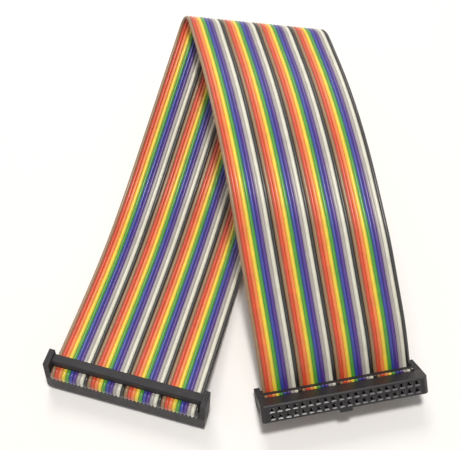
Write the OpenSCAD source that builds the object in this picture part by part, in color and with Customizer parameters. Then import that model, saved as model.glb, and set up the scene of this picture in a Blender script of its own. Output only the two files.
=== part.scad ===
// Ribbon cable of bonded wires in ten repeating colours, with a two-row socket at each end.
// The near socket leans back on its key, and the ribbon leaves its back toward +Y, dips to the
// table, goes over a narrow bend and comes down to the far socket, which lies on one edge.
// Millimetres. The origin is on the table, at the middle of the near key's lower edge, and +X
// runs along that socket.

/* [Ribbon] */
// Number of wires side by side, an even number
wire_count = 40; // [10:2:50]
// Distance from one wire to the next
wire_pitch = 1.27; // [1.2:0.01:1.4]
// Diameter of a wire over its insulation
wire_d = 0.9; // [0.7:0.01:1.1]
// Height of the insulation where two wires are bonded
web_h = 0.4; // [0.2:0.05:0.6]
// Length of the cut wire ends that stand out beside a socket
stub_l = 0.5; // [0.3:0.1:2]

/* [Housing] */
// Thickness of a socket across its two rows
socket_t = 6.1; // [5.8:0.1:8]
// Height of the housing, from the mating face to the ridges between the wires
housing_h = 6.5; // [6.3:0.1:8]
// Length of the socket past the ribbon's edge, at each end
end_l = 2.3; // [2.2:0.1:4]
// Bevel at the two lower corners of the long side
corner_bevel = 1.2; // [0.2:0.1:2]
// Bevel along the edges of the mating face
edge_bevel = 0.35; // [0.1:0.05:0.5]
// Width of the polarising key
key_w = 4.1; // [3:0.1:6]
// Height of the polarising key from the mating face
key_h = 3.2; // [2:0.1:4]
// How far the polarising key stands out
key_out = 1.1; // [0.5:0.1:1.5]

/* [Holes] */
// Distance between the two rows, and between the holes of a row
hole_pitch = 2.54; // [2.5:0.01:2.6]
// Side of a square hole
hole_w = 1; // [0.8:0.05:1.1]
// Side of a hole's tapered mouth at the mating face
mouth_w = 1.8; // [1.2:0.05:2]
// Depth of the tapered mouth
mouth_h = 0.5; // [0.2:0.05:0.6]
// Thickness of the housing floor in front of the contacts
floor_h = 0.9; // [0.7:0.1:1.4]
// Length of a contact's chamber along the row
chamber_l = 1.4; // [1.3:0.05:1.6]
// Width of a contact's chamber across the row
chamber_w = 1.1; // [1.1:0.05:1.4]
// Thickness of the roof over the chambers, under the wire grooves
roof_h = 0.6; // [0.5:0.05:0.8]

/* [Contacts] */
// Thickness of the contact's metal
metal_t = 0.3; // [0.2:0.05:0.4]
// Gap between the two springs where they grip a pin
grip_gap = 0.5; // [0.4:0.02:0.6]
// Gap between the two springs at their tips
tip_gap = 0.8; // [0.7:0.02:0.9]
// Height of the solid block that joins the two springs
yoke_h = 1.1; // [0.8:0.1:1.5]
// Width of the blade that goes up to its wire
blade_w = 0.7; // [0.5:0.05:0.8]

/* [Cover] */
// Thickness of the cover between the two layers of ribbon
cover_t = 3.2; // [2.6:0.05:3.6]
// Thickness of the end pieces of the cover and of the strain relief
cover_end_t = 6.1; // [5.8:0.1:8]

/* [Strain relief] */
// Thickness of the bar that holds the ribbon down on the cover
bar_h = 3; // [1.5:0.1:4]
// Width of the bar
bar_w = 3.1; // [2.2:0.1:4]
// Distance from the ribbon's exit side to the bar
bar_inset = 0.65; // [0.3:0.05:1.5]
// Bevel along the top edges of the bar
bar_bevel = 0.3; // [0.1:0.05:0.8]
// Length of an end post along the socket
post_l = 1.95; // [1.6:0.05:2]
// Height of an end post over the cover
post_h = 5.1; // [3.5:0.1:6]

/* [Latches] */
// Width of a latch tongue
tongue_w = 2.4; // [1.5:0.1:3]
// Thickness of a latch tongue
tongue_t = 0.8; // [0.5:0.05:1]
// Length of the cover's tongues, down the ends of the housing
cover_tongue_l = 3.6; // [2.5:0.1:4]
// Length of the strain relief's tongues, down the ends of the cover
relief_tongue_l = 2.8; // [2:0.1:3.2]
// How far a tongue's hook reaches in
hook_out = 0.4; // [0.2:0.05:0.5]
// Height of a tongue's hook
hook_h = 0.9; // [0.6:0.1:1.2]

/* [Clearance] */
// Gap between the insulation and the plastic that grips it
wire_gap = 0.03; // [0.01:0.01:0.05]
// Gap between the ribbon's edge and the sockets' end pieces
side_gap = 0.1; // [0.05:0.05:0.3]
// Gap round a tongue, a blade or a contact
play = 0.05; // [0.02:0.01:0.1]

/* [Lie] */
// How far the near socket leans back on its key, in degrees
near_lean = 10; // [0:0.5:12]

/* [Hidden] */
// The loop between the sockets, as it lies: each row is a straight run, then a bend, as
// [straight, length of bend, angle, skew of its fold line, number of steps]
BENDS = [
    [0.5, 6, -0.5, 0, 2],
    [13.5, 89.9, 35.01, 20.9, 4],
    [22.9, 24.4, 145.92, 13.5, 6],
    [10, 50.5, 21.6, 13.8, 2],
    [6.8, 13.7, 11.9, 26.7, 1],
    [27.85, 18.8, 16.04, -5.53, 3]
];
LAST_STRAIGHT = 2.6;
COLOURS = [
    ["brown", "#7b4a2d"], ["red", "#c8372b"], ["orange", "#e8762c"], ["yellow", "#f0cf3a"],
    ["green", "#4a9a4c"], ["blue", "#2f58a8"], ["violet", "#6b4a9c"], ["grey", "#8d8d8f"],
    ["white", "#ecebe6"], ["black", "#262628"]
];
PLASTIC = "#2b2b2e";
METAL = "#c9a45a";

ribbon_w = wire_count * wire_pitch;
half_l = ribbon_w / 2 + end_l;
half_t = socket_t / 2;
// Heights of the wires in the housing, of the wrap's centre and of the ribbon over the cover
wire_z = housing_h + web_h / 2 + wire_gap;
wrap_r = cover_t / 2 + wire_gap + wire_d / 2;
wrap_z = wire_z + wrap_r;
top_z = wire_z + 2 * wrap_r;
// The cover's nose is flush with the housing, and the wires bulge out in front of it
wrap_y = -half_t + cover_t / 2;
cover_z = wrap_z + cover_t / 2;
// Steps of the wrap, each a flat that touches the round nose
WRAP_STEP = 45;
wrap_corner = wrap_r / cos(WRAP_STEP / 2);
miter = 1 / cos(WRAP_STEP / 2);
column_count = wire_count / 2;
roof_z = housing_h - roof_h - (wire_d - web_h) / 2;
RING_POINTS = 6;
// Overlap of a cut past the face that it opens
PAST = 1;

function wire_x(k) = (k - (wire_count - 1) / 2) * wire_pitch;
function column_x(c) = (c - (column_count - 1) / 2) * hole_pitch;
function wire_name(k) = str("wire_", k < 9 ? "0" : "", k + 1, "_", COLOURS[k % 10][0]);

// A ruling is [point, side, up]: a straight line across the ribbon. The wire at x lies at
// point + x * side, and up is the ribbon's normal, lengthened where the ribbon has a corner.

// Turns v about the unit vector k by the angle a
function turn(v, k, a) = v * cos(a) + cross(k, v) * sin(a) + k * (k * v) * (1 - cos(a));

// Part of a bend that is done after the share u of its length, slow at both ends
function eased(u) = u - sin(360 * u) / (2 * PI);

// Step i of n of a bend, from the frame f = [point, forward, side, rulings so far]
function bend_step(f, bend, i) =
    let(n = bend[4], half_step = bend[1] / n / 2, a = bend[2] * (eased((i + 1) / n) - eased(i / n)))
    let(p = f[0] + f[1] * half_step, across = f[2] + f[1] * tan(bend[3]), k = across / norm(across))
    let(forward = turn(f[1], k, a), side = turn(f[2], k, a), up = cross(f[2], f[1]))
    let(mid_up = turn(up, k, a / 2) / cos(a / 2))
    [p + forward * half_step, forward, side, concat(f[3], [[p, across, mid_up]])];

function bend_steps(f, bend, i = 0) =
    i == bend[4] ? f : bend_steps(bend_step(f, bend, i), bend, i + 1);

function walk(f, i = 0) =
    i == len(BENDS) ? f :
    walk(bend_steps([f[0] + f[1] * BENDS[i][0], f[1], f[2], f[3]], BENDS[i]), i + 1);

// The near socket's own axes, which lean back about its key's lower edge
near_origin = -near_turn([0, half_t + key_out - edge_bevel, 0]);
function near_turn(v) = [
    v[0],
    v[1] * cos(near_lean) + v[2] * sin(near_lean),
    v[2] * cos(near_lean) - v[1] * sin(near_lean)
];

loop_end = walk([
    near_origin + near_turn([0, half_t, top_z]), near_turn([0, 1, 0]), [1, 0, 0], []
]);
end_forward = loop_end[1];
end_side = loop_end[2];
end_up = cross(end_side, end_forward);
end_point = loop_end[0] + end_forward * LAST_STRAIGHT;

// The far socket's own axes: the ribbon runs into its back, with the first wire at its +X end
far_origin = end_point + end_forward * half_t - end_up * top_z;
function far_turn(v) = -end_side * v[0] - end_forward * v[1] + end_up * v[2];

// Rulings in a socket, from the cut end under the cover, round its nose, to the exit
socket_rulings = concat(
    [[[0, half_t + stub_l, wire_z], [1, 0, 0], [0, 0, -1]]],
    [for (a = [WRAP_STEP / 2:WRAP_STEP:180]) [
        [0, wrap_y - wrap_corner * sin(a), wrap_z - wrap_corner * cos(a)],
        [1, 0, 0],
        [0, -sin(a), -cos(a)] * miter
    ]],
    [[[0, half_t, top_z], [1, 0, 0], [0, 0, 1]]]
);
last_ruling = len(socket_rulings) - 1;
rulings = concat(
    [for (r = socket_rulings) [near_origin + near_turn(r[0]), r[1], near_turn(r[2])]],
    loop_end[3],
    [for (i = [last_ruling:-1:0]) [
        far_origin + far_turn(socket_rulings[i][0]),
        end_side,
        far_turn(socket_rulings[i][2])
    ]]
);

// Section of one wire at a ruling: six points, whose two sides are shared with its neighbours
function ring(x, ruling) =
    let(c = ruling[0] + ruling[1] * x, s = ruling[1] * wire_pitch / 2, u = ruling[2])
    [c + u * wire_d / 2, c + s + u * web_h / 2, c + s - u * web_h / 2,
     c - u * wire_d / 2, c - s - u * web_h / 2, c - s + u * web_h / 2];

// The two triangles between side j of ring i and of the next ring. Both sides of a wire take
// the same diagonal as the wires beside it.
function side_faces(i, j) =
    let(a = i * RING_POINTS + j, b = i * RING_POINTS + (j + 1) % RING_POINTS)
    let(c = b + RING_POINTS, d = a + RING_POINTS)
    j < RING_POINTS / 2 ? [[c, b, a], [d, c, a]] : [[d, b, a], [d, c, b]];

module wire(k) {
    n = len(rulings);
    color(COLOURS[k % 10][1])
        polyhedron(
            points = [for (r = rulings) each ring(wire_x(k), r)],
            faces = concat(
                [[for (j = [0:RING_POINTS - 1]) j]],
                [for (i = [0:n - 2]) for (j = [0:RING_POINTS - 1]) each side_faces(i, j)],
                [[for (j = [RING_POINTS - 1:-1:0]) (n - 1) * RING_POINTS + j]]
            )
        );
}

// Extrudes an outline drawn in X and Z along Y, from y0 to y1
module along_y(y0, y1) {
    translate([0, y1, 0])
        rotate([90, 0, 0])
            linear_extrude(y1 - y0)
                children();
}

// Extrudes an outline drawn in Y and Z along X, from x0 to x1
module along_x(x0, x1) {
    translate([x0, 0, 0])
        rotate([90, 0, 90])
            linear_extrude(x1 - x0)
                children();
}

// Both ends of a socket, which are mirror images
module both_ends() {
    children();
    mirror([1, 0, 0])
        children();
}

// Zigzag that follows the ribbon's lower or upper side: low or high between the wires
function zigzag(z_between, z_at_wire) = concat(
    [for (k = [0:wire_count - 1]) each [
        [wire_x(k) - wire_pitch / 2, z_between], [wire_x(k), z_at_wire]
    ]],
    [[ribbon_w / 2, z_between]]
);

// Latch tongue with its hook, hanging from z at the outer end face, grown by g on every side
module tongue(z, l, g) {
    // A tongue starts within the end piece that carries it, and a slot for one is open there
    root = z + (g > 0 ? PAST : tongue_t);
    inner = half_l - tongue_t - g;
    tip = z - l - g;
    along_y(-tongue_w / 2 - g, tongue_w / 2 + g)
        polygon([
            [half_l + (g > 0 ? PAST : 0), root], [inner, root],
            [inner, tip + hook_h + 2 * g], [inner - hook_out, tip + hook_h + 2 * g],
            [inner, tip], [half_l + (g > 0 ? PAST : 0), tip]
        ]);
}

module housing_body() {
    low = wire_z - wire_d / 2 - wire_gap;
    intersection() {
        along_y(-half_t - key_out, half_t + key_out)
            polygon(concat(
                [[half_l, housing_h], [half_l, corner_bevel], [half_l - corner_bevel, 0],
                 [-half_l + corner_bevel, 0], [-half_l, corner_bevel], [-half_l, housing_h]],
                zigzag(housing_h, low)
            ));
        union() {
            along_x(-half_l, half_l)
                polygon([
                    [half_t - edge_bevel, 0], [half_t, edge_bevel], [half_t, housing_h],
                    [-half_t, housing_h], [-half_t, edge_bevel], [-half_t + edge_bevel, 0]
                ]);
            along_x(-key_w / 2, key_w / 2)
                polygon([
                    [0, 0], [half_t + key_out - edge_bevel, 0], [half_t + key_out, edge_bevel],
                    [half_t + key_out, key_h - edge_bevel], [half_t + key_out - edge_bevel, key_h],
                    [0, key_h]
                ]);
        }
    }
}

// Tapered mouths of all holes: long wedges along the rows, cut to the columns' own wedges
module mouths() {
    flare = (mouth_w - hole_w) / 2 / mouth_h;
    low = mouth_w / 2 + flare * PAST;
    wedge = [[-low, -PAST], [low, -PAST], [hole_w / 2, mouth_h], [-hole_w / 2, mouth_h]];
    intersection() {
        for (side = [-1, 1])
            along_x(-half_l, half_l)
                translate([side * hole_pitch / 2, 0])
                    polygon(wedge);
        for (c = [0:column_count - 1])
            along_y(-half_t, half_t)
                translate([column_x(c), 0])
                    polygon(wedge);
    }
}

// Everything cut out for one contact: its hole, its chamber and the slot of its blade.
// The +Y row serves the wires on the -X side of each column, and the -Y row the others.
module contact_space(c, side) {
    translate([column_x(c), side * hole_pitch / 2, 0]) {
        translate([-hole_w / 2, -hole_w / 2, -PAST])
            cube([hole_w, hole_w, floor_h + 2 * PAST]);
        translate([-chamber_l / 2, -chamber_w / 2, floor_h])
            cube([chamber_l, chamber_w, roof_z - floor_h]);
        translate([-side * wire_pitch / 2 - blade_w / 2 - play, -metal_t / 2 - play, roof_z])
            cube([blade_w + 2 * play, metal_t + 2 * play, roof_h + PAST]);
    }
}

module housing() {
    color(PLASTIC)
        difference() {
            housing_body();
            mouths();
            for (c = [0:column_count - 1])
                for (side = [-1, 1])
                    contact_space(c, side);
            both_ends()
                tongue(housing_h, cover_tongue_l, play);
        }
}

// One contact: two springs that grip a pin, joined by a yoke, with a blade up to its wire
module contact(side) {
    low = floor_h + 2 * play;
    outer = chamber_l / 2 - play;
    yoke_z = roof_z - yoke_h;
    // The springs are narrowest at a fifth of their length from the tips
    grip_z = low + (yoke_z - low) / 5;
    blade = -side * wire_pitch / 2;
    blade_z = wire_z - wire_d / 2 - wire_gap - play;
    along_y(-metal_t / 2, metal_t / 2) {
        polygon([
            [outer, roof_z], [-outer, roof_z], [-outer, low], [-tip_gap / 2, low],
            [-grip_gap / 2, grip_z], [-tip_gap / 2, yoke_z], [tip_gap / 2, yoke_z],
            [grip_gap / 2, grip_z], [tip_gap / 2, low], [outer, low]
        ]);
        translate([blade - blade_w / 2, roof_z])
            square([blade_w, blade_z - roof_z]);
    }
}

module contacts() {
    color(METAL)
        for (c = [0:column_count - 1])
            for (side = [-1, 1])
                translate([column_x(c), side * hole_pitch / 2, 0])
                    contact(side);
}

module cover() {
    inner = ribbon_w / 2 + side_gap;
    low = wire_z + web_h / 2 + wire_gap;
    color(PLASTIC)
        difference() {
            union() {
                // Slab with a round nose, which the ribbon wraps round
                along_x(-inner, inner) {
                    translate([wrap_y, wrap_z])
                        circle(d = cover_t, $fn = 64);
                    translate([wrap_y, wrap_z - cover_t / 2])
                        square([half_t - wrap_y, cover_t]);
                }
                // Grooves that press the wires into the housing
                along_y(wrap_y, half_t)
                    polygon(concat(
                        [[ribbon_w / 2, wrap_z], [-ribbon_w / 2, wrap_z]],
                        zigzag(low, wrap_z - cover_t / 2)
                    ));
                both_ends()
                    translate([inner, -cover_end_t / 2, housing_h])
                        cube([half_l - inner, cover_end_t, cover_z - housing_h]);
                both_ends()
                    tongue(housing_h, cover_tongue_l, 0);
            }
            both_ends()
                tongue(cover_z, relief_tongue_l, play);
        }
}

module strain_relief() {
    bar_z = top_z + wire_d / 2 + wire_gap;
    bar_y = half_t - bar_inset;
    color(PLASTIC) {
        along_x(-half_l + post_l / 2, half_l - post_l / 2)
            polygon([
                [bar_y, bar_z], [bar_y, bar_z + bar_h - bar_bevel],
                [bar_y - bar_bevel, bar_z + bar_h],
                [bar_y - bar_w + bar_bevel, bar_z + bar_h],
                [bar_y - bar_w, bar_z + bar_h - bar_bevel], [bar_y - bar_w, bar_z]
            ]);
        both_ends()
            translate([half_l - post_l, -cover_end_t / 2, cover_z])
                cube([post_l, cover_end_t, post_h]);
        both_ends()
            tongue(cover_z, relief_tongue_l, 0);
    }
}

// Puts a socket piece into the axes whose three directions and origin are given
module placed(x, y, z, o) {
    multmatrix([
        [x[0], y[0], z[0], o[0]],
        [x[1], y[1], z[1], o[1]],
        [x[2], y[2], z[2], o[2]]
    ])
        children();
}

module at_near_end() {
    placed(near_turn([1, 0, 0]), near_turn([0, 1, 0]), near_turn([0, 0, 1]), near_origin)
        children();
}

module at_far_end() {
    placed(far_turn([1, 0, 0]), far_turn([0, 1, 0]), far_turn([0, 0, 1]), far_origin)
        children();
}

for (k = [0:wire_count - 1])
    wire(k);
at_near_end() housing();  // near_housing
at_near_end() contacts();  // near_contacts
at_near_end() cover();  // near_cover
at_near_end() strain_relief();  // near_strain_relief
// The far housing is turned half round before it is pressed on, so that its key is on the same
// side of the first wire as the near one
at_far_end() rotate([0, 0, 180]) housing();  // far_housing
at_far_end() contacts();  // far_contacts
at_far_end() cover();  // far_cover
at_far_end() strain_relief();  // far_strain_relief
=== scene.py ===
"""Looks of a forty-wire rainbow ribbon cable with a two-row socket at each end.

The frame holds the sockets and a plain solid for each wire. This script draws each wire as a
smooth bonded cord with its stranded core, and gives every piece its finish.
"""

import math

import bmesh
import bpy
from bpy.props import FloatProperty, FloatVectorProperty, IntProperty, PointerProperty
from mathutils import Matrix, Vector


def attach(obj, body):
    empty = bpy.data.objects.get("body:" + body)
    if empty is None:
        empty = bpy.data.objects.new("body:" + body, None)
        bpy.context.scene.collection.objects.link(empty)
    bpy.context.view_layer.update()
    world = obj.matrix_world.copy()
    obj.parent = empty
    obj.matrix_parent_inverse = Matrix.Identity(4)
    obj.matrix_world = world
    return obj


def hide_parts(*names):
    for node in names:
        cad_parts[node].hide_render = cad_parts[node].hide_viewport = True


bl_info = {
    "name": "Ribbon cable",
    "version": (1, 0, 0),
    "blender": (4, 5, 0),
    "location": "View3D > Sidebar > Ribbon",
    "description": "Bonded rainbow ribbon cable with pressed-on two-row sockets",
    "category": "Object",
}

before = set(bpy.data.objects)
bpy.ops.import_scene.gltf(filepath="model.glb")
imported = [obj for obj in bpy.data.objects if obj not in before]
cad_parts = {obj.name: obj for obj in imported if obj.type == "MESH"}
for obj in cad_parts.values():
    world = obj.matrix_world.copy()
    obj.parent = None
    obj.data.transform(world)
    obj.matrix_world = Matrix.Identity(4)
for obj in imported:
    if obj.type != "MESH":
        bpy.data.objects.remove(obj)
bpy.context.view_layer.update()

BODY = "root"
MM = 0.001
PHOTO_WIDTH = 460
SENSOR_WIDTH = 36.0
# Steps of the half turn round a cover's nose, each a flat that touches it
WRAP_STEPS = 4
# Places of the points over a wire's round top, in degrees from its middle
TOP_ANGLES = (-66, -44, -22, 0, 22, 44, 66)
# How far a wire's web runs past the middle between it and the next wire
WEB_OVERLAP = 0.004 * MM
# Strands round the middle one of a wire, and how far they stand out of its cut end
STRANDS_ROUND = 6
STRANDS_PROUD = 0.1 * MM
# Points closer than this are one
SAME_POINT = 0.001 * MM
# How far the floor lies under the cable
FLOOR_DROP = 0.02 * MM
# Range that most values of a noise texture lie in
NOISE_RANGE = (0.3, 0.7)

# The loop between the sockets, as the part's source has it: straight run, length of bend
# (both in metres), angle, skew of the fold line (both in degrees) and number of steps
BENDS = [
    (0.0005, 0.006, -0.5, 0, 2),
    (0.0135, 0.0899, 35.01, 20.9, 4),
    (0.0229, 0.0244, 145.92, 13.5, 6),
    (0.01, 0.0505, 21.6, 13.8, 2),
    (0.0068, 0.0137, 11.9, 26.7, 1),
    (0.02785, 0.0188, 16.04, -5.53, 3),
]
LAST_STRAIGHT = 0.0026

# Ten insulation colours, from the first wire on, repeated along the ribbon
COLOURS = [
    ("brown", (0.32, 0.182, 0.095)),
    ("red", (0.66, 0.07, 0.027)),
    ("orange", (0.86, 0.245, 0.068)),
    ("yellow", (0.88, 0.68, 0.066)),
    ("green", (0.068, 0.31, 0.034)),
    ("blue", (0.036, 0.054, 0.31)),
    ("violet", (0.08, 0.029, 0.24)),
    ("grey", (0.42, 0.38, 0.37)),
    ("white", (0.80, 0.78, 0.65)),
    ("black", (0.009, 0.0075, 0.0065)),
]

# Surfaces: blotches and grains to a metre, and the height of the grain
SURFACES = {
    "Extruded PVC": (260.0, 5200.0, 0.004 * MM),
    "Drawn metal": (900.0, 9000.0, 0.002 * MM),
    "Moulded plastic": (350.0, 2600.0, 0.012 * MM),
}

# Lamps: name, setting that holds the power, side, colour and place. They are aimed at the
# middle of the cable.
LAMPS = [
    ("Key", "key_power", 0.11, (1.0, 0.975, 0.945), (0.05, 0.04, 0.9)),
    ("Back", "back_power", 0.34, (1.0, 0.985, 0.95), (-0.22, 0.526, 0.712)),
]
LAMP_AIM = (0.03, 0.05, 0.0)
ROOM_COLOUR = (1.0, 0.99, 0.98)


class RibbonSettings(bpy.types.PropertyGroup):
    """Sizes of the wires and of their way round a socket's cover"""

    wire_count: IntProperty(
        name="Wires", description="Number of wires side by side", default=40, min=2
    )
    pitch: FloatProperty(
        name="Pitch",
        description="Distance from one wire to the next",
        default=1.27 * MM,
        unit="LENGTH",
    )
    wire_d: FloatProperty(
        name="Wire diameter",
        description="Diameter over the insulation",
        default=0.9 * MM,
        unit="LENGTH",
    )
    web_h: FloatProperty(
        name="Web height",
        description="Height of the insulation where two wires are bonded",
        default=0.24 * MM,
        unit="LENGTH",
    )
    corner_samples: IntProperty(
        name="Corner samples",
        description="Rings along each corner of a wire's way",
        default=5,
        min=2,
    )
    exit_y: FloatProperty(
        name="Exit",
        description="Distance from the socket's middle to its back, where the ribbon leaves",
        default=3.05 * MM,
        unit="LENGTH",
    )
    low_z: FloatProperty(
        name="Wires in the housing",
        description="Height of the wires in the housing over the mating face",
        default=6.73 * MM,
        unit="LENGTH",
    )
    wrap_r: FloatProperty(
        name="Wrap radius",
        description="Radius of the wires' middle round the cover's nose",
        default=2.08 * MM,
        unit="LENGTH",
    )
    stub_l: FloatProperty(
        name="Stub",
        description="Length of the cut wire ends beside the socket",
        default=0.5 * MM,
        unit="LENGTH",
    )
    nose_y: FloatProperty(
        name="Nose",
        description="Distance from the socket's middle to the centre of the cover's round nose",
        default=1.45 * MM,
        unit="LENGTH",
    )
    foot_y: FloatProperty(
        name="Foot",
        description="Distance from the socket's middle to the key's edge that it leans on",
        default=3.8 * MM,
        unit="LENGTH",
    )
    lean: FloatProperty(
        name="Lean",
        description="How far the near socket leans back",
        subtype="ANGLE",
        default=math.radians(10),
    )
    strand_d: FloatProperty(
        name="Strand diameter",
        description="Diameter of one copper strand, seven to a wire",
        default=0.127 * MM,
        unit="LENGTH",
    )
    strand: FloatVectorProperty(
        name="Strands",
        description="Colour of the tinned strands",
        subtype="COLOR",
        size=3,
        default=(0.80, 0.78, 0.74),
    )


class SocketSettings(bpy.types.PropertyGroup):
    """Finish of the sockets"""

    plastic: FloatVectorProperty(
        name="Plastic",
        description="Colour of the moulded plastic",
        subtype="COLOR",
        size=3,
        default=(0.0125, 0.0105, 0.0118),
    )
    metal: FloatVectorProperty(
        name="Contact metal",
        description="Colour of the plated contacts",
        subtype="COLOR",
        size=3,
        default=(0.86, 0.82, 0.74),
    )
    matte: FloatProperty(
        name="Matte", description="Roughness of the covers", default=0.62, min=0.1, max=0.9
    )
    satin: FloatProperty(
        name="Satin",
        description="Roughness of the housings' outside",
        default=0.44,
        min=0.1,
        max=0.9,
    )
    polish: FloatProperty(
        name="Polish",
        description="Roughness of the pockets' walls",
        default=0.26,
        min=0.05,
        max=0.9,
    )
    pockets_long: FloatProperty(
        name="Pockets long",
        description="Length of the part of the mating face that holds the pockets",
        default=51.2 * MM,
        unit="LENGTH",
    )
    pockets_wide: FloatProperty(
        name="Pockets wide",
        description="Width of the part of the mating face that holds the pockets",
        default=5.0 * MM,
        unit="LENGTH",
    )
    pocket_depth: FloatProperty(
        name="Pocket depth",
        description="How deep the smooth walls go",
        default=4.0 * MM,
        unit="LENGTH",
    )
    edge: FloatProperty(
        name="Edge radius",
        description="Width of the rounding along the mouldings' edges",
        default=0.09 * MM,
        unit="LENGTH",
    )


class StageSettings(bpy.types.PropertyGroup):
    """Camera, floor and lamps"""

    focal_px: FloatProperty(
        name="Focal length",
        description="Focal length in pixels of a 460 pixel wide picture",
        default=882.3,
    )
    elevation: FloatProperty(
        name="Elevation",
        description="Angle of the view below the horizontal",
        subtype="ANGLE",
        default=math.radians(62.73),
    )
    azimuth: FloatProperty(
        name="Azimuth",
        description="Turn of the view from straight along the ribbon's exit",
        subtype="ANGLE",
        default=math.radians(15.45),
    )
    origin_seen: FloatVectorProperty(
        name="Origin as seen",
        description="The origin's place right of, above and in front of the camera",
        subtype="XYZ",
        size=3,
        default=(-33.41 * MM, -55.99 * MM, 300.78 * MM),
    )
    floor: FloatVectorProperty(
        name="Floor",
        description="Colour of the paper that the cable lies on",
        subtype="COLOR",
        size=3,
        default=(0.985, 0.97, 0.945),
    )
    floor_size: FloatProperty(
        name="Floor size", description="Side of the floor", default=6.0, unit="LENGTH"
    )
    floor_clear: FloatProperty(
        name="Clear floor",
        description="How far out the floor shows its own shade",
        default=0.22,
        unit="LENGTH",
    )
    floor_white: FloatProperty(
        name="White floor",
        description="Distance from which the floor is plain white",
        default=0.6,
        unit="LENGTH",
    )
    key_power: FloatProperty(
        name="Key power", description="Power of the lamp over the cable, in watts", default=4.7
    )
    back_power: FloatProperty(
        name="Back power", description="Power of the low lamp behind, in watts", default=2.25
    )
    world_strength: FloatProperty(
        name="Ambient", description="Strength of the light from all round", default=0.29
    )


# Shader groups and materials


def new_group(name, inputs, outputs):
    """An empty shader group with the named inputs (name, type, default) and outputs."""
    group = bpy.data.node_groups.new(name, "ShaderNodeTree")
    for label, kind, default in inputs:
        socket = group.interface.new_socket(label, in_out="INPUT", socket_type=kind)
        socket.default_value = default
    for label, kind in outputs:
        group.interface.new_socket(label, in_out="OUTPUT", socket_type=kind)
    return group, group.nodes.new("NodeGroupInput"), group.nodes.new("NodeGroupOutput")


def feed(tree, node, inputs):
    """Gives each named input of a node its link or its plain value."""
    for label, source in inputs.items():
        if isinstance(source, bpy.types.NodeSocket):
            tree.links.new(source, node.inputs[label])
        else:
            node.inputs[label].default_value = source


def add_node(tree, kind, inputs, **settings):
    """A new node with its settings and inputs."""
    node = tree.nodes.new(kind)
    for name, value in settings.items():
        setattr(node, name, value)
    feed(tree, node, inputs)
    return node


def noise(group, coordinates, scale, detail):
    """A noise texture on the given coordinates."""
    inputs = {"Vector": coordinates, "Scale": scale, "Detail": detail}
    return add_node(group, "ShaderNodeTexNoise", inputs).outputs["Fac"]


def object_place(tree):
    """Each point's place in its object's own axes."""
    return add_node(tree, "ShaderNodeTexCoord", {}).outputs["Object"]


def vector_math(tree, operation, *sources):
    """A vector math node that takes the given inputs in turn."""
    return add_node(
        tree, "ShaderNodeVectorMath", dict(enumerate(sources)), operation=operation
    )


def value_math(tree, operation, *sources):
    """The result of a math node that takes the given inputs in turn."""
    node = add_node(tree, "ShaderNodeMath", dict(enumerate(sources)), operation=operation)
    return node.outputs["Value"]


def spread(group, value, low, high):
    """Maps a noise value to the range from one socket's value to another's."""
    inputs = {
        "Value": value,
        "From Min": NOISE_RANGE[0],
        "From Max": NOISE_RANGE[1],
        "To Min": low,
        "To Max": high,
    }
    return add_node(group, "ShaderNodeMapRange", inputs).outputs["Result"]


def bump(group, height, strength, distance):
    """A bump of the given height in metres."""
    inputs = {"Height": height, "Strength": strength, "Distance": distance}
    return add_node(group, "ShaderNodeBump", inputs).outputs["Normal"]


def surface_group(name):
    """Colour that varies a little, roughness that varies more, and a fine grain."""
    if name in bpy.data.node_groups:
        return bpy.data.node_groups[name]
    blotch_scale, grain_scale, grain_depth = SURFACES[name]
    group, given, made = new_group(
        name,
        [
            ("Colour", "NodeSocketColor", (0.5, 0.5, 0.5, 1)),
            ("Blotch Scale", "NodeSocketFloat", blotch_scale),
            ("Darkest", "NodeSocketFloat", 0.9),
            ("Lightest", "NodeSocketFloat", 1.08),
            ("Smoothest", "NodeSocketFloat", 0.3),
            ("Roughest", "NodeSocketFloat", 0.5),
            ("Grain Scale", "NodeSocketFloat", grain_scale),
            ("Grain Strength", "NodeSocketFloat", 0.5),
        ],
        [
            ("Colour", "NodeSocketColor"),
            ("Roughness", "NodeSocketFloat"),
            ("Normal", "NodeSocketVector"),
        ],
    )
    given = given.outputs
    place = object_place(group)
    blotch = noise(group, place, given["Blotch Scale"], detail=3.0)
    grain = noise(group, place, given["Grain Scale"], detail=2.0)
    shade = spread(group, blotch, given["Darkest"], given["Lightest"])
    tint = add_node(
        group, "ShaderNodeVectorMath", {0: given["Colour"], "Scale": shade}, operation="SCALE"
    )
    skin = {
        "Colour": tint.outputs["Vector"],
        "Roughness": spread(group, blotch, given["Smoothest"], given["Roughest"]),
        "Normal": bump(group, grain, given["Grain Strength"], grain_depth),
    }
    feed(group, made, skin)
    return group


def pocket_group():
    """A mask that is 1 on the pockets' walls and 0 on the moulding's outside."""
    name = "Contact pockets"
    if name in bpy.data.node_groups:
        return bpy.data.node_groups[name]
    group, given, made = new_group(
        name,
        [
            ("Face", "NodeSocketVector", (0, 0, 0)),
            ("Across", "NodeSocketVector", (1, 0, 0)),
            ("Through", "NodeSocketVector", (0, 1, 0)),
            ("Inward", "NodeSocketVector", (0, 0, 1)),
            ("Half Length", "NodeSocketFloat", 0.025),
            ("Half Width", "NodeSocketFloat", 0.002),
            ("Half Depth", "NodeSocketFloat", 0.002),
        ],
        [("Mask", "NodeSocketFloat")],
    )
    given = given.outputs
    shift = vector_math(group, "SUBTRACT", object_place(group), given["Face"]).outputs["Vector"]
    reaches = {"Across": "Half Length", "Through": "Half Width", "Inward": "Half Depth"}
    mask = None
    for axis, reach in reaches.items():
        along = vector_math(group, "DOT_PRODUCT", shift, given[axis]).outputs["Value"]
        within = value_math(group, "COMPARE", along, 0.0, given[reach])
        mask = within if mask is None else value_math(group, "MULTIPLY", mask, within)
    feed(group, made, {"Mask": mask})
    return group


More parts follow.
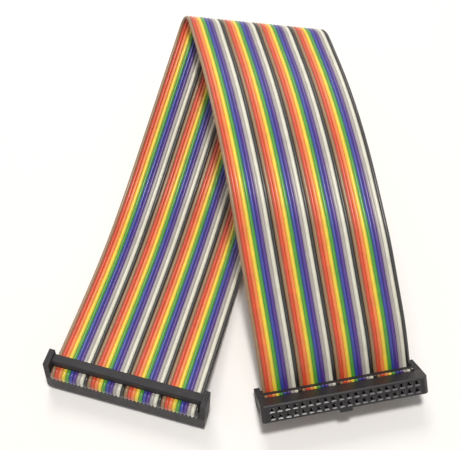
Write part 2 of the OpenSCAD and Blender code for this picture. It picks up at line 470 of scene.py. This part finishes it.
def material(name, surface, values, shader_values):
    """A material whose Principled shader takes colour, roughness and normal from a group."""
    made = bpy.data.materials.new(name)
    made.use_nodes = True
    tree = made.node_tree
    skin = add_node(tree, "ShaderNodeGroup", values, node_tree=surface_group(surface)).outputs
    shader_inputs = {
        "Base Color": skin["Colour"],
        "Roughness": skin["Roughness"],
        "Normal": skin["Normal"],
        **shader_values,
    }
    feed(tree, tree.nodes["Principled BSDF"], shader_inputs)
    return made


def insulation_material(name, colour):
    """Glossy soft PVC of one wire colour."""
    return material(
        f"{name} insulation",
        "Extruded PVC",
        {
            "Colour": (*colour, 1),
            "Darkest": 0.92,
            "Lightest": 1.05,
            "Smoothest": 0.28,
            "Roughest": 0.4,
        },
        {"IOR": 1.5, "Coat Weight": 0.55, "Coat Roughness": 0.25},
    )


def cover_material(name, socket, roughness):
    """Glass-filled plastic, from satin to matte. Its coat shows only where a mask lets it."""
    smoother, rougher = 0.05, 0.08
    return material(
        name,
        "Moulded plastic",
        {
            "Colour": (*socket.plastic, 1),
            "Darkest": 0.85,
            "Lightest": 1.2,
            "Smoothest": roughness - smoother,
            "Roughest": roughness + rougher,
        },
        {"IOR": 1.45, "Coat Weight": 0.0, "Coat Roughness": socket.polish, "Coat IOR": 1.85},
    )


def housing_material(name, socket, origin, turn):
    """The same plastic with its pockets' walls as smooth as the core pins that formed them."""
    made = cover_material(name, socket, socket.satin)
    tree = made.node_tree
    skin_depth = 0.02 * MM
    box = {
        "Face": origin + turn @ Vector((0, 0, socket.pocket_depth / 2 + skin_depth)),
        "Across": turn.col[0],
        "Through": turn.col[1],
        "Inward": turn.col[2],
        "Half Length": socket.pockets_long / 2,
        "Half Width": socket.pockets_wide / 2,
        "Half Depth": socket.pocket_depth / 2,
    }
    pockets = add_node(tree, "ShaderNodeGroup", box, node_tree=pocket_group())
    feed(tree, tree.nodes["Principled BSDF"], {"Coat Weight": pockets.outputs["Mask"]})
    return made


def metal_material(name, colour, smoothest, roughest):
    """Plated or bare drawn metal."""
    return material(
        name,
        "Drawn metal",
        {"Colour": (*colour, 1), "Smoothest": smoothest, "Roughest": roughest},
        {"Metallic": 1.0},
    )


# Rulings: straight lines across the ribbon, each a (point, side, normal). The wire at x has
# its middle at point + x * side.


def corner(point, side, forward_in, forward_out, reach, samples):
    """Rulings along a smooth corner that starts and ends at reach from its point."""
    made = []
    for i in range(samples):
        u = i / (samples - 1)
        shift = forward_out * (u * u * reach) - forward_in * ((1 - u) ** 2 * reach)
        forward = forward_in.lerp(forward_out, u)
        made.append((point + shift, side, side.cross(forward).normalized()))
    return made


def eased(u):
    """Part of a bend that is done after the share u of its length, slow at both ends."""
    return u - math.sin(2 * math.pi * u) / (2 * math.pi)


def socket_rulings(ribbon):
    """From the cut end under the cover, round its nose, to the exit, in the socket's axes."""
    step = math.pi / WRAP_STEPS
    across = Vector((1, 0, 0))
    centre = Vector((0, -ribbon.nose_y, ribbon.low_z + ribbon.wrap_r))
    distance = ribbon.wrap_r / math.cos(step / 2)
    reach = ribbon.wrap_r * math.tan(step / 2)

    def heading(angle):
        return Vector((0, -math.cos(angle), math.sin(angle)))

    end = Vector((0, ribbon.exit_y + ribbon.stub_l, ribbon.low_z))
    made = [(end, across, Vector((0, 0, -1)))]
    for i in range(WRAP_STEPS):
        angle = (i + 0.5) * step
        point = Vector((0, -distance * math.sin(angle), -distance * math.cos(angle))) + centre
        made += corner(
            point,
            across,
            heading(angle - step / 2),
            heading(angle + step / 2),
            reach,
            ribbon.corner_samples,
        )
    return made


def exit_height(ribbon):
    """Height at which the ribbon leaves a socket, over its mating face."""
    return ribbon.low_z + 2 * ribbon.wrap_r


def near_axes(ribbon):
    """The near socket's place and axes: it leans back about its key's lower edge."""
    turn = Matrix.Rotation(-ribbon.lean, 3, "X")
    return turn @ Vector((0, -ribbon.foot_y, 0)), turn


def loop_rulings(ribbon):
    """The free loop's rulings, and its end as (point, forward, side)."""
    origin, lean = near_axes(ribbon)
    point = origin + lean @ Vector((0, ribbon.exit_y, exit_height(ribbon)))
    forward, side = lean @ Vector((0, 1, 0)), Vector((1, 0, 0))
    made = []
    for straight, length, angle, skew, steps in BENDS:
        point = point + forward * straight
        reach = length / steps / 2
        for i in range(steps):
            share = eased((i + 1) / steps) - eased(i / steps)
            across = side + forward * math.tan(math.radians(skew))
            turn = Matrix.Rotation(math.radians(angle) * share, 3, across.normalized())
            point = point + forward * reach
            onward = turn @ forward
            made += corner(point, across, forward, onward, reach, ribbon.corner_samples)
            forward, side = onward, turn @ side
            point = point + forward * reach
    return made, (point + forward * LAST_STRAIGHT, forward, side)


def far_axes(ribbon, end):
    """The far socket's place and axes: the ribbon runs into its back."""
    point, forward, side = end
    up = side.cross(forward)
    turn = Matrix((-side, -forward, up)).transposed()
    return point + forward * ribbon.exit_y - up * exit_height(ribbon), turn


def all_rulings(ribbon):
    """The whole way of the ribbon, from one cut end to the other."""
    socket = socket_rulings(ribbon)
    origin, turn = near_axes(ribbon)
    near = [(origin + turn @ p, s, turn @ n) for p, s, n in socket]
    loop, end = loop_rulings(ribbon)
    origin, turn = far_axes(ribbon, end)
    far = [(origin + turn @ p, end[2], turn @ n) for p, _, n in reversed(socket)]
    return near + loop + far


def wire_x(ribbon, k):
    """Place of wire k across the ribbon."""
    return (k - (ribbon.wire_count - 1) / 2) * ribbon.pitch


def wire_label(k):
    return f"wire_{k + 1:02d}_{COLOURS[k % len(COLOURS)][0]}"


def wire_section(ribbon):
    """One wire's outline as (across, up) points: two round sides and the bonded webs."""
    radius, half_pitch, half_web = ribbon.wire_d / 2, ribbon.pitch / 2, ribbon.web_h / 2
    angles = [math.radians(a) for a in TOP_ANGLES]
    top = [(radius * math.sin(a), radius * math.cos(a)) for a in angles]
    edge = half_pitch + WEB_OVERLAP
    right = [(edge, half_web), (edge, -half_web)]
    return top + right + [(-x, -z) for x, z in top] + [(-x, -z) for x, z in right]


def put(mesh_from, name, made_of):
    """Turns a bmesh into an object that rides on the part."""
    mesh = bpy.data.meshes.new(name)
    mesh_from.to_mesh(mesh)
    mesh_from.free()
    thing = bpy.data.objects.new(name, mesh)
    bpy.context.scene.collection.objects.link(thing)
    mesh.materials.append(made_of)
    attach(thing, BODY)
    return thing


def wire_mesh(ribbon, rulings, k):
    """A tube of the wire's outline along its way, from a grid rolled up and capped."""
    section = wire_section(ribbon)
    around = len(section)
    mesh = bmesh.new()
    bmesh.ops.create_grid(mesh, x_segments=around, y_segments=len(rulings) - 1, size=1)
    mesh.verts.ensure_lookup_table()
    x = wire_x(ribbon, k)
    for row, (point, side, normal) in enumerate(rulings):
        for column in range(around + 1):
            across, up = section[column % around]
            vert = mesh.verts[row * (around + 1) + column]
            vert.co = point + side * (x + across) + normal * up
    bmesh.ops.remove_doubles(mesh, verts=mesh.verts, dist=SAME_POINT)
    for face in mesh.faces:
        face.smooth = True
    rim = [edge for edge in mesh.edges if edge.is_boundary]
    caps = bmesh.ops.holes_fill(mesh, edges=rim, sides=around)["faces"]
    for edge in rim:
        edge.smooth = False
    for face in caps:
        face.smooth = False
    bmesh.ops.recalc_face_normals(mesh, faces=mesh.faces)
    return mesh


class RIBBON_OT_wires(bpy.types.Operator):
    """Draw the forty bonded wires, from cut end to cut end"""

    bl_idname = "ribbon.wires"
    bl_label = "Wires"

    def execute(self, context):
        ribbon = context.scene.ribbon
        finish = {name: insulation_material(name, rgb) for name, rgb in COLOURS}
        rulings = all_rulings(ribbon)
        for k in range(ribbon.wire_count):
            label = wire_label(k)
            colour = COLOURS[k % len(COLOURS)][0]
            wire = put(
                wire_mesh(ribbon, rulings, k),
                f"ribbon_{label}",
                finish[colour],
            )
            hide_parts(label)
        return {"FINISHED"}


class RIBBON_OT_cores(bpy.types.Operator):
    """Show the seven tinned copper strands in each cut wire end"""

    bl_idname = "ribbon.cores"
    bl_label = "Cores"

    def execute(self, context):
        ribbon = context.scene.ribbon
        tinned = metal_material(
            "Tinned strands", ribbon.strand, smoothest=0.2, roughest=0.35
        )
        rulings = all_rulings(ribbon)
        ends = (("near", rulings[0], rulings[1]), ("far", rulings[-1], rulings[-2]))
        for end, (point, side, normal), (inward, _, _) in ends:
            out = (point - inward).normalized()
            cores = bmesh.new()
            for k in range(ribbon.wire_count):
                middle = point + side * wire_x(ribbon, k)
                for across, up in strand_shifts(ribbon.strand_d):
                    shift = side * across + normal * up
                    place = middle + shift - out * STRANDS_PROUD
                    add_strand(cores, place, out, ribbon.strand_d / 2)
            put(cores, f"{end}_wire_cores", tinned)
        return {"FINISHED"}


def strand_shifts(diameter):
    """Places of a wire's strands from its middle: a ring, and the one in the middle."""
    turns = [math.radians(360 / STRANDS_ROUND * i) for i in range(STRANDS_ROUND)]
    return [(diameter * math.cos(t), diameter * math.sin(t)) for t in turns] + [(0.0, 0.0)]


def add_strand(mesh, place, out, radius):
    """A short rod along a wire's end, most of it hidden in the insulation."""
    rod = bmesh.ops.create_cone(
        mesh,
        cap_ends=True,
        segments=8,
        radius1=radius,
        radius2=radius,
        depth=4 * STRANDS_PROUD,
    )
    lean = out.to_track_quat("Z", "Y").to_matrix().to_4x4()
    bmesh.ops.transform(mesh, matrix=Matrix.Translation(place) @ lean, verts=rod["verts"])


class RIBBON_OT_sockets(bpy.types.Operator):
    """Give the mouldings and contacts their finish and soften the mouldings' edges"""

    bl_idname = "ribbon.sockets"
    bl_label = "Sockets"

    def execute(self, context):
        socket = context.scene.ribbon_socket
        ribbon = context.scene.ribbon
        places = {"near": near_axes(ribbon), "far": far_axes(ribbon, loop_rulings(ribbon)[1])}
        metal = metal_material("Plated contact", socket.metal, smoothest=0.2, roughest=0.4)
        cover = cover_material("Moulded cover", socket, socket.matte)
        housing = {
            end: housing_material(f"Moulded {end} housing", socket, origin, turn)
            for end, (origin, turn) in places.items()
        }
        for name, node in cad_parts.items():
            if name.startswith("wire_"):
                continue
            end, kind = name.split("_", 1)
            finish = {"contacts": metal, "housing": housing[end]}.get(kind, cover)
            for place in node.material_slots:
                place.material = finish
            if finish is not metal:
                soften(node, socket.edge)
        return {"FINISHED"}


def soften(node, width):
    """Rounds a moulding's sharp edges a little, so that they catch the light."""
    weld = node.modifiers.new("Weld", "WELD")
    weld.merge_threshold = 0.002 * MM
    edges = node.modifiers.new("Edges", "BEVEL")
    edges.width = width
    edges.segments = 2
    edges.limit_method = "ANGLE"
    edges.angle_limit = math.radians(40)


class RIBBON_OT_stage(bpy.types.Operator):
    """Set up the camera, the floor and the lamps"""

    bl_idname = "ribbon.stage"
    bl_label = "Stage"

    def execute(self, context):
        stage = context.scene.ribbon_stage
        add_camera(stage)
        add_floor(stage)
        add_lamps(stage)
        context.scene.view_settings.view_transform = "Standard"
        return {"FINISHED"}


def add_camera(stage):
    """The photograph's viewpoint, from where it sees the origin."""
    az, el = stage.azimuth, stage.elevation
    forward = Vector((-math.sin(az) * math.cos(el), math.cos(az) * math.cos(el), -math.sin(el)))
    right = Vector((math.cos(az), math.sin(az), 0))
    up = right.cross(forward)
    seen = stage.origin_seen
    lens = bpy.data.cameras.new("Camera")
    lens.sensor_width = SENSOR_WIDTH
    lens.lens = stage.focal_px * SENSOR_WIDTH / PHOTO_WIDTH
    lens.clip_start = 0.01
    lens.clip_end = 20
    camera = bpy.data.objects.new("Camera", lens)
    turn = Matrix((right, up, -forward)).transposed().to_4x4()
    place = -right * seen[0] - up * seen[1] - forward * seen[2]
    camera.matrix_world = Matrix.Translation(place) @ turn
    bpy.context.scene.collection.objects.link(camera)
    bpy.context.scene.camera = camera


def background_rays(tree):
    """1 for rays that look at the background, straight or by way of metal or glass."""
    path = add_node(tree, "ShaderNodeLightPath", {}).outputs
    white = path["Is Camera Ray"]
    for also in ("Is Glossy Ray", "Is Transmission Ray"):
        white = value_math(tree, "MAXIMUM", white, path[also])
    return white


def fade_out(paper, clear, white):
    """Lets the paper turn plain white between two distances from the cable."""
    tree = paper.node_tree
    away = vector_math(tree, "LENGTH", object_place(tree)).outputs["Value"]
    span = {"Value": away, "From Min": clear, "From Max": white}
    share = add_node(tree, "ShaderNodeMapRange", span, interpolation_type="SMOOTHSTEP")
    seen = value_math(tree, "MULTIPLY", share.outputs["Result"], background_rays(tree))
    plain = tree.nodes["Principled BSDF"].outputs["BSDF"]
    glow = add_node(tree, "ShaderNodeEmission", {}).outputs["Emission"]
    blend = add_node(tree, "ShaderNodeMixShader", {"Fac": seen, 1: plain, 2: glow})
    feed(tree, tree.nodes["Material Output"], {"Surface": blend.outputs["Shader"]})


def add_floor(stage):
    """A wide sheet of pale paper."""
    mesh = bmesh.new()
    bmesh.ops.create_grid(mesh, x_segments=1, y_segments=1, size=stage.floor_size / 2)
    bmesh.ops.translate(mesh, verts=mesh.verts, vec=(0, 0, -FLOOR_DROP))
    data = bpy.data.meshes.new("Floor")
    mesh.to_mesh(data)
    mesh.free()
    floor = bpy.data.objects.new("Floor", data)
    paper = bpy.data.materials.new("Paper")
    paper.use_nodes = True
    finish = {"Base Color": (*stage.floor, 1), "Roughness": 0.6, "Specular IOR Level": 0.2}
    feed(paper.node_tree, paper.node_tree.nodes["Principled BSDF"], finish)
    fade_out(paper, stage.floor_clear, stage.floor_white)
    data.materials.append(paper)
    bpy.context.scene.collection.objects.link(floor)


def add_lamp(name, power, size, colour, stand):
    """A square lamp that is aimed at the middle of the cable."""
    lamp = bpy.data.lights.new(name, "AREA")
    lamp.energy = power
    lamp.size = size
    lamp.color = colour
    thing = bpy.data.objects.new(name, lamp)
    aim = Vector(LAMP_AIM) - Vector(stand)
    turn = aim.to_track_quat("-Z", "Y").to_matrix().to_4x4()
    thing.matrix_world = Matrix.Translation(stand) @ turn
    bpy.context.scene.collection.objects.link(thing)


def add_lamps(stage):
    """A lamp over the cable, a low one behind for the glints, and even light all round."""
    for name, power, size, colour, stand in LAMPS:
        add_lamp(name, getattr(stage, power), size, colour, stand)
    world = bpy.data.worlds.new("Room")
    world.use_nodes = True
    tree = world.node_tree
    span = {"Value": background_rays(tree), "To Min": stage.world_strength, "To Max": 1.0}
    level = add_node(tree, "ShaderNodeMapRange", span).outputs["Result"]
    room = {"Color": (*ROOM_COLOUR, 1), "Strength": level}
    feed(tree, tree.nodes["Background"], room)
    bpy.context.scene.world = world


class RIBBON_PT_panel(bpy.types.Panel):
    """Lists the steps that dress the cable"""

    bl_idname = "RIBBON_PT_panel"
    bl_label = "Ribbon cable"
    bl_space_type = "VIEW_3D"
    bl_region_type = "UI"
    bl_category = "Ribbon"

    def draw(self, context):
        for operator in OPERATORS:
            self.layout.operator(operator.bl_idname)


SETTINGS = {
    "ribbon": RibbonSettings,
    "ribbon_socket": SocketSettings,
    "ribbon_stage": StageSettings,
}
OPERATORS = (RIBBON_OT_stage, RIBBON_OT_wires, RIBBON_OT_cores, RIBBON_OT_sockets)


def register():
    for cls in (*SETTINGS.values(), *OPERATORS, RIBBON_PT_panel):
        bpy.utils.register_class(cls)
    for name, group in SETTINGS.items():
        setattr(bpy.types.Scene, name, PointerProperty(type=group))


def unregister():
    for name in SETTINGS:
        delattr(bpy.types.Scene, name)
    for cls in (RIBBON_PT_panel, *reversed(OPERATORS), *SETTINGS.values()):
        bpy.utils.unregister_class(cls)


def main():
    register()
    bpy.ops.ribbon.stage()
    bpy.ops.ribbon.wires()
    bpy.ops.ribbon.cores()
    bpy.ops.ribbon.sockets()


if __name__ == "__main__":
    main()
